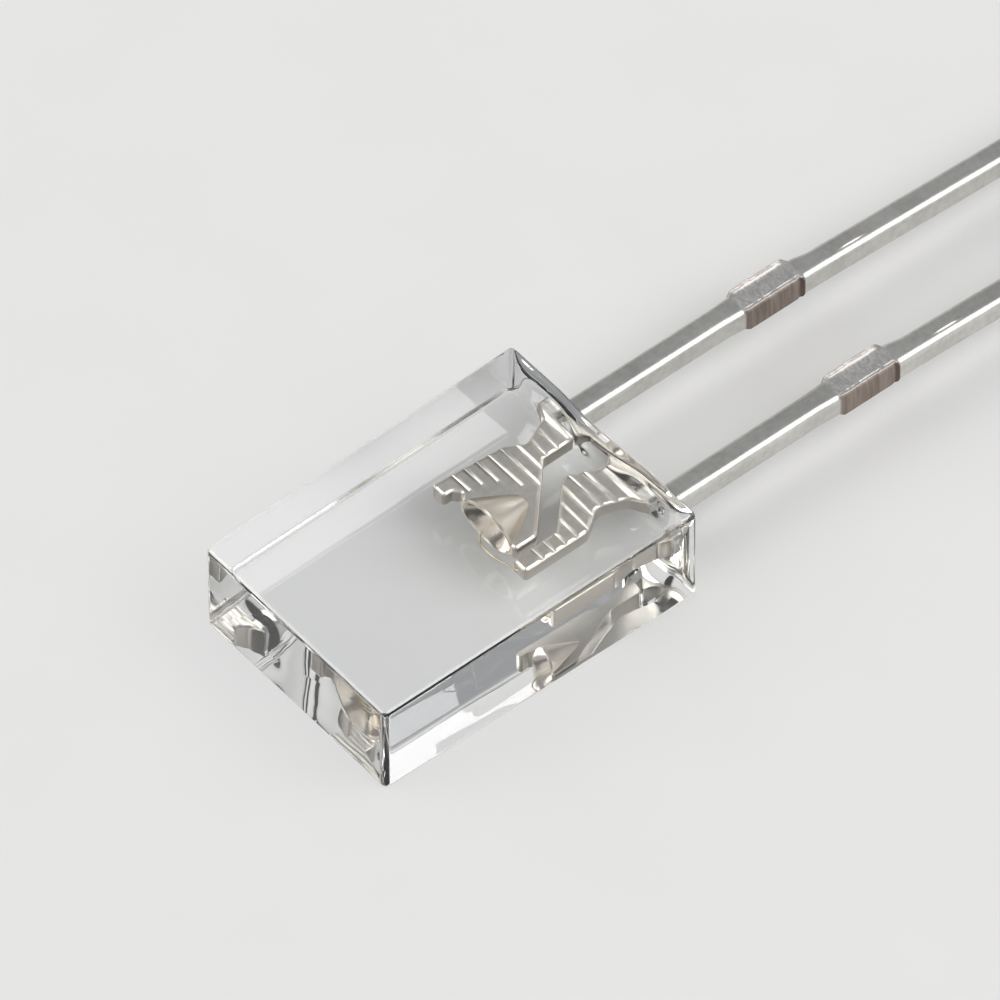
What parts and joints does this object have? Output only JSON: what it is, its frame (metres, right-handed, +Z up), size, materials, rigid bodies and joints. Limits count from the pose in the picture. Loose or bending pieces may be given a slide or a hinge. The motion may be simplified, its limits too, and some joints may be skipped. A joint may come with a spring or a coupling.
{
  "type": "rectangular led",
  "caption": "Water-clear rectangular through-hole LED: cast epoxy block with a drafted body, stamped lead frame with reflector cup, bond wire and square bent leads.",
  "frame": {"origin": "middle of the body's flat underside, on the surface that the part lies on", "axes": "+X along the leads, away from the light-emitting end; +Y towards the lead that carries the reflector cup; +Z up"},
  "size_m": [0.0339, 0.005, 0.0021],
  "materials": {
    "clear_epoxy": "water-clear cast epoxy with a polished mould finish",
    "tinned_lead_frame": "bright plated steel, with bare brown metal where the dam bar was sheared",
    "chip": "sawn semiconductor with a gold pad",
    "silver_adhesive": "dull silver-filled adhesive",
    "gold_wire": "drawn gold"
  },
  "bodies": {
    "root": {"epoxy_body": "clear_epoxy", "anvil_lead": "tinned_lead_frame", "post_lead": "tinned_lead_frame", "led_chip": "chip", "die_attach": "silver_adhesive", "bond_wire": "gold_wire"}
  },
  "joints": []
}
